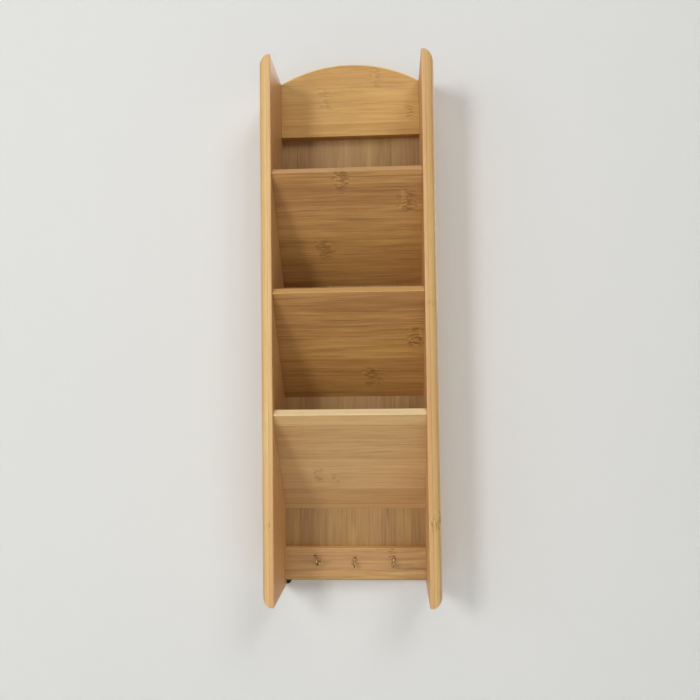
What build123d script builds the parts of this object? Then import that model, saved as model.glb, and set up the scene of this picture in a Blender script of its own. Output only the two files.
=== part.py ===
"""Wall-hung bamboo letter rack with three leaning pockets and a rail of key hooks.

Units are millimetres.  While it is built, X runs across the rack with 0 at its middle, Y runs from the
rack (negative) to the wall at 0, and Z is the height above the foot of the side panels.  The finished
pieces are then lowered so that the origin is midway between the two keyhole entries, on the wall.
"""

from build123d import *
import math
import os

# Carcass
side_height = 480.0
side_depth = 75.0
side_thickness = 11.0
inner_width = 132.0
wall_gap = 2.0  # what the hanger plates and the bumpers stand proud of the wood
outer_round = 9.8  # round-over along the outer arris of a side panel, nearly its whole thickness
arris = 1.0  # easing of the other long arrises
least_front_flat = 0.2  # flat left between the two on a thinner panel's front edge
board_arris = 0.6  # easing of the thinner boards

# Back panel, let into a stopped rebate in each side panel and one along the header's foot
back_thickness = 3.0
back_foot = 5.0  # height of its lower edge
header_lap = 6.0  # how far it reaches up behind the header
rebate_width = 5.0
panel_clearance = 0.1  # all round the panel in its rebates

# Header with an arched top
header_thickness = 12.0
header_foot_drop = 53.8  # from the side panels' tops to the header's lower edge
header_shoulder_drop = 1.5  # from the side panels' tops to the ends of the arch
arch_rise = 17.3

# Pocket fronts, which lean out from the back panel to the side panels' front edges
pocket_count = 3
pocket_pitch = 105.7
lowest_pocket_lip = 163.3  # height of the lowest front's upper outer arris
front_thickness = 8.0
front_drop = 91.5  # from a front's upper outer arris to its lower arris on the back panel
front_setback = 1.5  # from the side panels' front edges to the upper outer arris

# Hook rail
rail_thickness = 9.0
rail_foot = 7.8
rail_height = 28.7

# Screw hooks
hook_places = (-37.8, 0.0, 36.5)  # the shanks, from the rack's middle line
hook_root_height = 20.0  # above the rail's lower edge
left_hook_lift = 2.0  # the left one sits this much higher
hook_wire = 1.7
hook_neck = 1.6  # straight wire between the rail and the first bend
hook_bend_radius = 1.7
hook_bowl_radius = 3.9
hook_back_drop = 1.7  # straight wire between the bend and the bowl
hook_tip_rise = 2.2  # straight wire above the bowl on the open side
hook_shank = 8.0
hook_shank_radius = 0.95
hook_leans = (30.0, -10.0, -10.0)  # how far each wire is bent sideways at its neck, in degrees
hook_names = ("hook_left", "hook_centre", "hook_right")
pilot_clearance = 0.05

# Keyhole hangers on the back of the header
hanger_inset = 18.0  # from the side panels' inner faces to the hangers' middle lines
hanger_width = 16.0
hanger_height = 42.0
hanger_entry_above_header_foot = 22.5
hanger_foot_below_entry = 18.0
entry_radius = 4.5
slot_half_width = 2.3
slot_rise = 8.0  # from the entry's centre to the slot's upper centre
head_room_radius = 5.4  # room for a wall screw's head behind the plate
head_room_depth = 6.0  # how deep that room is cut into the header
plate_screw_inset = 4.5  # from the plate's ends to its screws
plate_screw_length = 9.0
plate_screw_radius = 1.25
plate_screw_head_radius = 2.5
plate_screw_head_height = 1.4
screw_clearance = 0.05

# Bamboo pins that join the cross boards to the side panels
pin_radius = 2.0
pin_in_side = 6.0
pin_in_board = 10.0
pin_clearance = 0.05
header_pin_heights = (12.0, 38.0)  # above the header's lower edge
rail_pin_margin = 7.0  # from the rail's lower and upper edges
front_pin_margin = 26.0  # from a front's ends, along its slope

# Brads that hold the back panel
brad_radius = 0.7
brad_head_radius = 1.3
brad_head_height = 0.5
brad_length = 10.0
brad_clearance = 0.05
side_brad_count = 6
side_brad_above_rail = 6.0  # from the rail's upper edge to the lowest side brads
side_brad_below_head = 12.0  # from the back panel's upper edge to the highest side brads
cross_brad_pitch = 24.0
cross_brad_count = 3

# Rubber bumpers
bumper_radius = 4.0
bumper_edge_round = 0.6
left_bumper_place = (0.4, 4.5)  # in from the side panel's inner face, and up from the foot
right_bumper_place = (3.5, 9.0)

# Planes and lines that several pieces share
half_inner = inner_width / 2
half_outer = half_inner + side_thickness
round_over = min(outer_round, side_thickness - arris - least_front_flat)
wood_back = -wall_gap
panel_face = wood_back - back_thickness
header_face = wood_back - header_thickness
rail_face = panel_face - rail_thickness
front_edge = wood_back - side_depth
header_foot = side_height - header_foot_drop
panel_top = header_foot + header_lap
header_shoulder = side_height - header_shoulder_drop
entry_height = header_foot + hanger_entry_above_header_foot
hanger_foot = entry_height - hanger_foot_below_entry
hanger_middle = half_inner - hanger_inset
plate_screw_heights = (hanger_foot + plate_screw_inset, hanger_foot + hanger_height - plate_screw_inset)
lip_y = front_edge + front_setback
slope_run = panel_face - lip_y
slope_length = math.hypot(slope_run, front_drop)
slope = (slope_run / slope_length, -front_drop / slope_length)  # down along a front, in (Y, Z)
inward = (front_drop / slope_length, slope_run / slope_length)  # square to a front, towards its pocket
hook_root = rail_foot + hook_root_height
side_brad_x = half_inner + rebate_width / 2
side_brad_low = rail_foot + rail_height + side_brad_above_rail
side_brad_high = panel_top - side_brad_below_head
side_brad_step = (side_brad_high - side_brad_low) / (side_brad_count - 1)


def block(x_span, y_span, z_span):
    """A rectangular block between two limits on each axis."""
    size = [high - low for low, high in (x_span, y_span, z_span)]
    middle = [(high + low) / 2 for low, high in (x_span, y_span, z_span)]
    return Pos(*middle) * Box(*size)


def rod(radius, start, end):
    """A round bar between two points."""
    axis = Vector(*end) - Vector(*start)
    return extrude(Plane(origin=start, z_dir=axis) * Circle(radius), amount=axis.length)


def slab_across(outline, x_span):
    """A (Y, Z) outline carried along X."""
    low, high = x_span
    return extrude(Plane.YZ.offset(low) * Polygon(*outline, align=None), amount=high - low)


def slab_from_wall(face, near, far):
    """A sketch in X and Z carried along Y from near to far."""
    return extrude(Plane(origin=(0, near, 0), x_dir=(1, 0, 0), z_dir=(0, -1, 0)) * face, amount=near - far)


def pocket_lips():
    """Heights of the pocket fronts' upper outer arrises, lowest first."""
    return [lowest_pocket_lip + index * pocket_pitch for index in range(pocket_count)]


def front_pin_places(lip):
    """(Y, Z) of the pins at one end of a pocket front, on the middle of its thickness."""
    places = []
    for along in (front_pin_margin, slope_length - front_pin_margin):
        y = lip_y + slope[0] * along + inward[0] * front_thickness / 2
        z = lip + slope[1] * along + inward[1] * front_thickness / 2
        places.append((y, z))
    return places


def header_pin_places():
    """(Y, Z) of the pins at one end of the header."""
    return [(wood_back - header_thickness / 2, header_foot + height) for height in header_pin_heights]


def rail_pin_places():
    """(Y, Z) of the pins at one end of the hook rail."""
    middle = panel_face - rail_thickness / 2
    return [(middle, rail_foot + rail_pin_margin), (middle, rail_foot + rail_height - rail_pin_margin)]


def all_front_pin_places():
    """(Y, Z) of the pins at one end of all the pocket fronts."""
    return [place for lip in pocket_lips() for place in front_pin_places(lip)]


def pins(places, clearance=0.0):
    """Round pins across both joints with the side panels, or their holes when a clearance is given."""
    shapes = []
    for hand in (-1, 1):
        for y, z in places:
            inner_end = (hand * (half_inner - pin_in_board - clearance), y, z)
            outer_end = (hand * (half_inner + pin_in_side + clearance), y, z)
            shapes.append(rod(pin_radius + clearance, inner_end, outer_end))
    return shapes


def brad_places():
    """(X, Z) of the brads through the back panel."""
    places = []
    for hand in (-1, 1):
        for index in range(side_brad_count):
            places.append((hand * side_brad_x, side_brad_low + index * side_brad_step))
    first = -cross_brad_pitch * (cross_brad_count - 1) / 2
    for height in (rail_foot + rail_height / 2, (header_foot + panel_top) / 2):
        for index in range(cross_brad_count):
            places.append((first + index * cross_brad_pitch, height))
    return places


def brad(x, z, clearance=0.0):
    """One headed brad driven from the wall side, or its hole when a clearance is given."""
    point = wood_back - brad_length - clearance
    shank = rod(brad_radius + clearance, (x, wood_back, z), (x, point, z))
    head = rod(brad_head_radius + clearance, (x, wood_back, z), (x, wood_back - brad_head_height, z))
    return shank + head


def plate_screw_places():
    """(X, Z) of the screws that hold the hanger plates."""
    return [(hand * hanger_middle, z) for hand in (-1, 1) for z in plate_screw_heights]


def plate_screw(x, z, clearance=0.0):
    """One countersunk screw through a hanger plate, or its hole when a clearance is given."""
    radius = plate_screw_radius + clearance
    head_radius = plate_screw_head_radius + clearance
    shank = rod(radius, (x, 0, z), (x, -plate_screw_length - clearance, z))
    cone = Cone(radius, head_radius, plate_screw_head_height)
    head = Pos(x, -plate_screw_head_height / 2, z) * Rot(-90, 0, 0) * cone
    return shank + head


def keyhole(entry, slot):
    """A round entry with a narrower slot that rises from it, as a sketch about the entry's centre."""
    neck = Pos(0, slot_rise / 2) * Rectangle(2 * slot, slot_rise)
    return Circle(entry) + neck + Pos(0, slot_rise) * Circle(slot)


def head_room():
    """The room for both wall screws' heads, in the back of the header."""
    rooms = []
    for hand in (-1, 1):
        sketch = Pos(hand * hanger_middle, entry_height) * keyhole(head_room_radius, head_room_radius)
        rooms.append(slab_from_wall(sketch, wood_back, wood_back - head_room_depth))
    return rooms


def hook_centres():
    """(X, Z) of the hooks' shanks, from left to right."""
    lifts = (left_hook_lift, 0.0, 0.0)
    return [(place, hook_root + lift) for place, lift in zip(hook_places, lifts)]


def showing_edges(face):
    """A side panel face's edges apart from the one against the wall."""
    return [edge for edge in face.edges() if edge.center().Y < wood_back - arris]


def side_panel():
    """The right side panel, with its rebate, pin holes and brad holes."""
    panel = block((half_inner, half_outer), (front_edge, wood_back), (0, side_height))
    panel = fillet(showing_edges(panel.faces().sort_by(Axis.X)[-1]), round_over)
    panel = fillet(showing_edges(panel.faces().sort_by(Axis.X)[0]), arris)
    rebate_x = (half_inner - arris, half_inner + rebate_width)
    rebate_y = (panel_face, wood_back + arris)
    rebate_z = (back_foot - panel_clearance, panel_top + panel_clearance)
    panel -= block(rebate_x, rebate_y, rebate_z)
    panel -= pins(header_pin_places() + rail_pin_places() + all_front_pin_places(), pin_clearance)
    panel -= [brad(x, z, brad_clearance) for x, z in brad_places() if x > half_inner]
    return panel


def back_panel():
    """The thin back panel, with its brad holes."""
    half = half_inner + rebate_width - panel_clearance
    panel = block((-half, half), (panel_face, wood_back), (back_foot, panel_top))
    panel -= [brad(x, z, brad_clearance) for x, z in brad_places()]
    return panel


def header():
    """The header board: straight foot and ends, arched top, and a rebate for the back panel."""
    left = (-half_inner, header_shoulder)
    right = (half_inner, header_shoulder)
    crown = (0, header_shoulder + arch_rise)
    foot_left = (-half_inner, header_foot)
    foot_right = (half_inner, header_foot)
    outline = Polyline(left, foot_left, foot_right, right) + ThreePointArc(right, crown, left)
    board = slab_from_wall(make_face(outline), wood_back, header_face)
    front = board.faces().sort_by(Axis.Y)[0]
    long_edges = [edge for edge in front.edges() if abs(edge.center().X) < half_inner / 2]
    board = fillet(long_edges, board_arris)
    rebate_z = (header_foot - arris, panel_top + panel_clearance)
    board -= block((-half_outer, half_outer), (panel_face, wood_back + arris), rebate_z)
    board -= head_room()
    board -= pins(header_pin_places(), pin_clearance)
    board -= [plate_screw(x, z, screw_clearance) for x, z in plate_screw_places()]
    board -= [brad(x, z, brad_clearance) for x, z in brad_places() if z > header_foot]
    return board


def pocket_front(lip):
    """A leaning board: square-cut top, foot cut upright to lie flat on the back panel."""
    outer_top = (lip_y, lip)
    inner_top = (lip_y + inward[0] * front_thickness, lip + inward[1] * front_thickness)
    outer_foot = (panel_face, lip - front_drop)
    inner_foot = (panel_face, lip - front_drop + front_thickness / inward[0])
    board = slab_across([outer_top, outer_foot, inner_foot, inner_top], (-half_inner, half_inner))
    top_edges = [edge for edge in board.edges().filter_by(Axis.X) if edge.center().Z > lip - arris]
    board = fillet(top_edges, board_arris)
    board -= pins(front_pin_places(lip), pin_clearance)
    return board


def hook_rail():
    """The rail under the pockets, with the hooks' pilot holes."""
    board = block((-half_inner, half_inner), (rail_face, panel_face), (rail_foot, rail_foot + rail_height))
    front = board.faces().sort_by(Axis.Y)[0]
    board = fillet(front.edges().filter_by(Axis.X), board_arris)
    board -= pins(rail_pin_places(), pin_clearance)
    board -= [brad(x, z, brad_clearance) for x, z in brad_places() if z < rail_foot + rail_height]
    for x, z in hook_centres():
        pilot_end = (x, rail_face + hook_shank + pilot_clearance, z)
        board -= rod(hook_shank_radius + pilot_clearance, (x, rail_face - arris, z), pilot_end)
    return board


def hook_path():
    """The wire's middle line, as distances out from the rail and heights above the shank."""
    bend_end = (hook_neck + hook_bend_radius, -hook_bend_radius)
    bend_middle = (hook_neck + hook_bend_radius * math.sqrt(0.5), -hook_bend_radius * (1 - math.sqrt(0.5)))
    bowl_back = (bend_end[0], bend_end[1] - hook_back_drop)
    bowl_foot = (bend_end[0] + hook_bowl_radius, bowl_back[1] - hook_bowl_radius)
    bowl_front = (bend_end[0] + 2 * hook_bowl_radius, bowl_back[1])
    tip = (bowl_front[0], bowl_front[1] + hook_tip_rise)
    neck = Line((0, 0), (hook_neck, 0))
    bend = ThreePointArc((hook_neck, 0), bend_middle, bend_end)
    back = Line(bend_end, bowl_back)
    bowl = ThreePointArc(bowl_back, bowl_foot, bowl_front)
    return Wire([neck, bend, back, bowl, Line(bowl_front, tip)])


def screw_hook(x, z, lean):
    """A round wire hook: neck, bend, straight back, half-round bowl and ball tip, on a plain shank."""
    root = (x, rail_face, z)
    outward = (math.sin(math.radians(lean)), -math.cos(math.radians(lean)), 0)
    sideways = (outward[1], -outward[0], 0)
    path = Plane(origin=root, x_dir=outward, z_dir=sideways) * hook_path()
    wire = sweep(Plane(origin=path @ 0, z_dir=path % 0) * Circle(hook_wire / 2), path=path)
    root_ball = Pos(*root) * Sphere(hook_wire / 2)
    tip_ball = Pos(*(path @ 1)) * Sphere(hook_wire / 2)
    shank = rod(hook_shank_radius, root, (x, rail_face + hook_shank, z))
    return wire + tip_ball + root_ball + shank


def keyhole_hanger(hand):
    """A flat plate with round ends, a keyhole and two countersunk screw holes."""
    sketch = Pos(hand * hanger_middle, hanger_foot + hanger_height / 2) * SlotOverall(
        hanger_height, hanger_width, rotation=90
    )
    sketch -= Pos(hand * hanger_middle, entry_height) * keyhole(entry_radius, slot_half_width)
    plate = slab_from_wall(sketch, 0, wood_back)
    plate -= [plate_screw(x, z, screw_clearance) for x, z in plate_screw_places()]
    return plate


def wall_bumper(hand, place):
    """A round rubber bumper stuck to the back, with an eased rim on the wall side."""
    inward_from_side, height = place
    x = hand * (half_inner - inward_from_side)
    disc = rod(bumper_radius, (x, wood_back, height), (x, 0, height))
    rim = disc.edges().sort_by(Axis.Y)[-1]
    return fillet(rim, bumper_edge_round)


def group(shapes):
    """Several separate solids as one node."""
    return Compound(children=[solid for shape in shapes for solid in shape.solids()])


right_side = side_panel()
nodes = {
    "right_side_panel": right_side,
    "left_side_panel": mirror(right_side, about=Plane.YZ),
    "back_panel": back_panel(),
    "arched_header": header(),
    "hook_rail": hook_rail(),
    "keyhole_hanger_left": keyhole_hanger(-1),
    "keyhole_hanger_right": keyhole_hanger(1),
    "hanger_screws": group([plate_screw(x, z) for x, z in plate_screw_places()]),
    "header_pins": group(pins(header_pin_places())),
    "rail_pins": group(pins(rail_pin_places())),
    "pocket_front_pins": group(pins(all_front_pin_places())),
    "back_panel_brads": group([brad(x, z) for x, z in brad_places()]),
    "wall_bumper_left": wall_bumper(-1, left_bumper_place),
    "wall_bumper_right": wall_bumper(1, right_bumper_place),
}
for name, lip in zip(("pocket_front_bottom", "pocket_front_middle", "pocket_front_top"), pocket_lips()):
    nodes[name] = pocket_front(lip)
for name, (x, z), lean in zip(hook_names, hook_centres(), hook_leans):
    nodes[name] = screw_hook(x, z, lean)

os.makedirs("parts", exist_ok=True)
to_hanging_point = Pos(0, 0, -entry_height)
for name, shape in nodes.items():
    export_step(to_hanging_point * shape, f"parts/{name}.step")
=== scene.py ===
"""Finishes for a wall-hung bamboo letter rack: shaped boards, bent brass hooks, hangers, light and camera.

Everything is in metres, with X across the rack, Y into the wall and Z up.  Each board is a section carried
along the board, each hook is a round wire carried along its bend, and each small fitting is a turned shape.
"""

import math
import bpy
import numpy as np
from mathutils import Matrix, Vector
from mathutils.geometry import tessellate_polygon


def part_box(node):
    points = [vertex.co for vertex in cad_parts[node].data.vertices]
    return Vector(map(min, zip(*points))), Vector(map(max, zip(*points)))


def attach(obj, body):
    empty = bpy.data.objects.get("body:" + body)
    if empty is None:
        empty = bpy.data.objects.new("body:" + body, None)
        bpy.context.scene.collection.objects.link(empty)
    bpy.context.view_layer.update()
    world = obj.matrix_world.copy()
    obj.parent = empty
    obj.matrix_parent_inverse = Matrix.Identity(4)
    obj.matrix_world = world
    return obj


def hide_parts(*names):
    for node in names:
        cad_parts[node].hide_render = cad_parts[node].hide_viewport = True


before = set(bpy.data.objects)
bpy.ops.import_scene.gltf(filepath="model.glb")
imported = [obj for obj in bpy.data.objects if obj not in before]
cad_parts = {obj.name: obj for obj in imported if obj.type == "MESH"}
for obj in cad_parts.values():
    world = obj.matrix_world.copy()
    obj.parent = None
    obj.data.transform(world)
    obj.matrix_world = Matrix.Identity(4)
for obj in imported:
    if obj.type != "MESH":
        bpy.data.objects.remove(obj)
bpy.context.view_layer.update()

MM = 0.001

# Sizes that the boxes of the CAD pieces don't give
OUTER_ROUND = 9.8 * MM
ARRIS = 1.0 * MM
BOARD_ARRIS = 0.6 * MM
CUT_EDGE = 0.15 * MM
GLUE_LINE = 0.12 * MM
REBATE_WIDTH = 5.0 * MM
PANEL_CLEARANCE = 0.1 * MM
ARCH_RISE = 17.3 * MM
FRONT_THICKNESS = 8.0 * MM
FRONT_DROP = 91.5 * MM
FRONT_SETBACK = 1.5 * MM
GUARD = 0.08 * MM  # a line this far inside a flat face keeps its shading flat
STEP_GAP = 1e-6  # the length over which a section steps to another
ARCH_POINTS = 97

# Screw hooks
HOOK_PLACES = (-37.8 * MM, 0.0, 36.5 * MM)
HOOK_ROOT_HEIGHT = 20.0 * MM
HOOK_LIFTS = (2.0 * MM, 0.0, 0.0)
HOOK_LEANS = (30.0, -10.0, -10.0)
HOOK_NAMES = ("hook_left", "hook_centre", "hook_right")
WIRE_RADIUS = 0.85 * MM
HOOK_NECK = 1.6 * MM
HOOK_BEND = 1.7 * MM
HOOK_BACK_DROP = 1.7 * MM
HOOK_BOWL = 3.9 * MM
HOOK_TIP_RISE = 2.2 * MM
SHANK_LENGTH = 8.0 * MM
SHANK_RADIUS = 0.95 * MM
THREAD_DEPTH = 0.22 * MM
THREAD_PITCH = 0.9 * MM
SHANK_POINT = 2.5 * MM
THREAD_RUN_IN = 1.2 * MM

# Room for the wall screws' heads in the back of the header
HEAD_ROOM_RADIUS = 5.4 * MM
HEAD_ROOM_DEPTH = 6.0 * MM
SLOT_RISE = 8.0 * MM

# Hanger screws and back panel brads
SCREW_INSET = 4.5 * MM
SCREW_LENGTH = 9.0 * MM
SCREW_RADIUS = 1.25 * MM
SCREW_HEAD_RADIUS = 2.5 * MM
SCREW_HEAD_HEIGHT = 1.4 * MM
SCREW_POINT = 2.0 * MM
SCREW_SUNK = 0.04 * MM
RECESS_REACH = 1.35 * MM
RECESS_WIDTH = 0.32 * MM
RECESS_DEPTH = 0.75 * MM
RECESS_WALL = 0.14 * MM
RECESS_RUN_OUT = 0.9 * MM
BRAD_RADIUS = 0.7 * MM
BRAD_HEAD_RADIUS = 1.3 * MM
BRAD_HEAD_HEIGHT = 0.5 * MM
BRAD_PROUD = 0.12 * MM
BRAD_LENGTH = 10.0 * MM
BRAD_POINT = 1.5 * MM
SIDE_BRAD_COUNT = 6
SIDE_BRAD_ABOVE_RAIL = 6.0 * MM
SIDE_BRAD_BELOW_HEAD = 12.0 * MM
CROSS_BRAD_PITCH = 24.0 * MM

# Planes that several pieces share, read from the frame
side_low, side_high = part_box("right_side_panel")
panel_low, panel_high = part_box("back_panel")
header_low, header_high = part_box("arched_header")
rail_low, rail_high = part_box("hook_rail")
hanger_low, hanger_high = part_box("keyhole_hanger_right")
HANGER_X = (hanger_low.x + hanger_high.x) / 2
INNER_X = side_low.x
OUTER_X = side_high.x
FRONT_EDGE_Y = side_low.y
WOOD_BACK_Y = side_high.y
FOOT_Z = side_low.z
TOP_Z = side_high.z
PANEL_FACE_Y = panel_low.y
LIP_Y = FRONT_EDGE_Y + FRONT_SETBACK
FRONT_RUN = PANEL_FACE_Y - LIP_Y
FRONT_SLOPE = math.hypot(FRONT_RUN, FRONT_DROP)
ARCH_RADIUS = (INNER_X**2 + ARCH_RISE**2) / (2 * ARCH_RISE)
SLOPE = (FRONT_RUN / FRONT_SLOPE, -FRONT_DROP / FRONT_SLOPE)
INWARD = (FRONT_DROP / FRONT_SLOPE, FRONT_RUN / FRONT_SLOPE)


# ---------------------------------------------------------------- mesh making

def ring_quads(ring_count, ring_size):
    """Quads between neighbouring rings of one closed surface, as an array of corner numbers."""
    row = np.arange(ring_count - 1)[:, None] * ring_size
    here = np.arange(ring_size)[None, :]
    after = (here + 1) % ring_size
    corners = [row + here, row + after, row + ring_size + after, row + ring_size + here]
    return np.stack(corners, axis=-1).reshape(-1, 4)


def loft(rings):
    """A closed shell through rings of points: quads between rings and one flat face at each end.

    The shell's volume is the sum of corner triple products, and its faces are turned if that is negative.
    """
    count, size = rings.shape[:2]
    points = rings.reshape(-1, 3)
    quads = ring_quads(count, size)
    first_cap = np.arange(size)[::-1]
    last_cap = np.arange(size) + (count - 1) * size
    fans = [
        np.stack([np.full(size - 2, cap[0]), cap[1:-1], cap[2:]], axis=1)
        for cap in (first_cap, last_cap)
    ]
    triangles = np.concatenate([quads[:, [0, 1, 2]], quads[:, [0, 2, 3]], *fans])
    a, b, c = (points[triangles[:, i]] for i in range(3))
    volume = np.einsum("ij,ij->i", a, np.cross(b, c)).sum()
    faces = quads.tolist() + [first_cap.tolist(), last_cap.tolist()]
    if volume < 0:
        faces = [face[::-1] for face in faces]
    return points, faces


def joined(shells):
    """Several shells as one list of points and faces."""
    points, faces, offset = [], [], 0
    for shell_points, shell_faces in shells:
        points.append(shell_points)
        faces += [[corner + offset for corner in face] for face in shell_faces]
        offset += len(shell_points)
    return np.concatenate(points), faces


def add_piece(name, shell, material, nodes, sharp_degrees=32.0):
    """Makes the piece that is shown in place of some CAD nodes."""
    points, faces = shell
    mesh = bpy.data.meshes.new(name)
    mesh.from_pydata(points.tolist(), [], faces)
    mesh.polygons.foreach_set("use_smooth", np.ones(len(mesh.polygons), dtype=bool))
    mesh.set_sharp_from_angle(angle=math.radians(sharp_degrees))
    mesh.materials.append(material)
    piece = bpy.data.objects.new(name, mesh)
    bpy.context.scene.collection.objects.link(piece)
    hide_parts(*nodes)
    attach(piece, "root")


def eased_outline(corners, radii, steps=5):
    """A closed outline with each corner rounded by its radius, and a guard point on each side of a round.

    An arc's centre lies on the corner's bisector, radius / sin(half angle) away, and the arc starts and
    ends radius / tan(half angle) from the corner.
    """
    corners = [np.array(corner, float) for corner in corners]
    outline = []
    for index, corner in enumerate(corners):
        back = corners[index - 1] - corner
        ahead = corners[(index + 1) % len(corners)] - corner
        back /= np.linalg.norm(back)
        ahead /= np.linalg.norm(ahead)
        half = math.acos(float(np.clip(back @ ahead, -1, 1))) / 2
        radius = radii[index]
        reach = radius / math.tan(half)
        centre = corner + (back + ahead) / np.linalg.norm(back + ahead) * radius / math.sin(half)
        start, end = corner + back * reach - centre, corner + ahead * reach - centre
        turn = math.pi - 2 * half
        t = np.linspace(0, 1, steps + 1)[:, None]
        arc = centre + (np.sin((1 - t) * turn) * start + np.sin(t * turn) * end) / math.sin(turn)
        outline.append((corner + back * (reach + GUARD))[None])
        outline.append(arc)
        outline.append((corner + ahead * (reach + GUARD))[None])
    return np.concatenate(outline)


def carried_across(outline, x_values):
    """A (Y, Z) outline carried along X."""
    x = np.asarray(x_values, float)
    rings = np.empty((len(x), len(outline), 3))
    rings[:, :, 0] = x[:, None]
    rings[:, :, 1:] = outline[None]
    return loft(rings)


def turned(profile, centre, sides=32):
    """A shape turned about the Y axis through a centre: each ring is a circle of the profile's radius."""
    angle = np.linspace(0, 2 * np.pi, sides, endpoint=False)
    radius, depth = np.asarray(profile, float).T
    rings = np.empty((len(radius), sides, 3))
    rings[:, :, 0] = centre[0] + radius[:, None] * np.cos(angle)
    rings[:, :, 1] = centre[1] + depth[:, None]
    rings[:, :, 2] = centre[2] + radius[:, None] * np.sin(angle)
    return loft(rings)


# ---------------------------------------------------------------- boards

def quarter_sag(distance, radius):
    """How far a quarter-round has fallen away at some distance in from its edge."""
    inside = np.clip(radius - distance, 0, radius)
    return radius - np.sqrt(np.maximum(radius**2 - inside**2, 0))


def edge_stations(radius, steps):
    """Distances in from an edge that space a quarter-round evenly by angle, ending with a guard line."""
    angle = np.linspace(0, np.pi / 2, steps + 1)
    return np.concatenate([radius * (1 - np.cos(angle)), [radius + GUARD]])


def side_panel_shell(hand):
    """A side panel as a (X, Y) section carried up Z.

    The section is a rectangle with a wide round at its outer front corner, a small one at its inner front
    corner and a rebate at its inner back corner.  Near the top and foot, every point is held inside the
    same two rounds, so X is at most outer - sag(distance from the end) and at least inner + small sag.
    """
    end = edge_stations(OUTER_ROUND, 10)
    rebate_low = panel_low.z - PANEL_CLEARANCE
    rebate_high = panel_high.z + PANEL_CLEARANCE
    flats = np.array([0.25, 0.5, 0.75]) * (TOP_Z - FOOT_Z)
    levels = np.concatenate([FOOT_Z + end, FOOT_Z + flats, TOP_Z - end, [rebate_low, rebate_high]])
    levels = np.sort(np.concatenate([levels, [rebate_low + STEP_GAP, rebate_high - STEP_GAP]]))
    front = eased_outline(
        [(INNER_X, FRONT_EDGE_Y), (OUTER_X, FRONT_EDGE_Y), (OUTER_X, WOOD_BACK_Y), (INNER_X, WOOD_BACK_Y)],
        (ARRIS, OUTER_ROUND, CUT_EDGE, CUT_EDGE), steps=10,
    )
    rebate_x = INNER_X + REBATE_WIDTH
    corner = len(front) // 4 * 3  # three corners stay, and the rebate takes the place of the fourth
    before = front[:corner]
    plain_back = [(rebate_x, WOOD_BACK_Y), (rebate_x, WOOD_BACK_Y), (INNER_X, WOOD_BACK_Y)]
    cut_back = [(rebate_x, WOOD_BACK_Y), (rebate_x, PANEL_FACE_Y), (INNER_X, PANEL_FACE_Y)]
    plain = np.concatenate([before, plain_back])
    cut = np.concatenate([before, cut_back])
    in_rebate = (levels > rebate_low) & (levels < rebate_high)
    section = np.where(in_rebate[:, None, None], cut[None], plain[None])
    from_end = np.minimum(levels - FOOT_Z, TOP_Z - levels)[:, None]
    x = np.minimum(section[:, :, 0], OUTER_X - quarter_sag(from_end, OUTER_ROUND))
    x = np.maximum(x, INNER_X + quarter_sag(from_end, ARRIS))
    rings = np.empty(section.shape[:2] + (3,))
    rings[:, :, 0] = hand * x
    rings[:, :, 1] = section[:, :, 1]
    rings[:, :, 2] = levels[:, None]
    return loft(rings)


def arch_lift(x):
    """Height of the header's arch above its ends: a circle through both ends and the crown."""
    return np.sqrt(ARCH_RADIUS**2 - x**2) - (ARCH_RADIUS - ARCH_RISE)


def stadium(x, low, high, radius, steps=14):
    """A closed outline of two half circles, one above the other, in X and Z."""
    angle = np.linspace(0, np.pi, steps + 1)
    upper = np.stack([x + radius * np.cos(angle), high + radius * np.sin(angle)], 1)
    lower = np.stack([x - radius * np.cos(angle), low - radius * np.sin(angle)], 1)
    return np.concatenate([upper, lower])


def pocketed(shell, pockets, mouth_y, floor_y):
    """A shell whose last, flat face has pockets sunk into it, each an (X, Z) outline going towards -Y.

    The face is filled again with triangles between its rim and the pockets' rims, and each pocket gets
    a wall, carried from its mouth to its floor, and a flat floor.
    """
    points, faces = shell
    rim = faces.pop()
    rims = [[Vector(points[corner]) for corner in rim]]
    rims += [[Vector((x, mouth_y, z)) for x, z in outline] for outline in pockets]
    corner_numbers = list(rim)
    parts = [points]
    total = len(points)
    for outline in pockets:
        size = len(outline)
        sunk = np.stack([outline[:, 0], np.full(size, mouth_y), outline[:, 1]], 1)
        floor = sunk + np.array([0.0, floor_y - mouth_y, 0.0])
        parts += [sunk, floor]
        mouth = total + np.arange(size)
        corner_numbers += mouth.tolist()
        after = np.roll(mouth, -1)
        faces += np.stack([mouth, mouth + size, after + size, after], 1).tolist()
        faces.append((mouth + size).tolist()[::-1])
        total += 2 * size
    rim_points = sum(rims, [])
    for triangle in tessellate_polygon(rims):
        a, b, c = (rim_points[corner] for corner in triangle)
        order = triangle if (b - a).cross(c - a).y > 0 else triangle[::-1]
        faces.append([corner_numbers[corner] for corner in order])
    return np.concatenate(parts), faces


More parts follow.
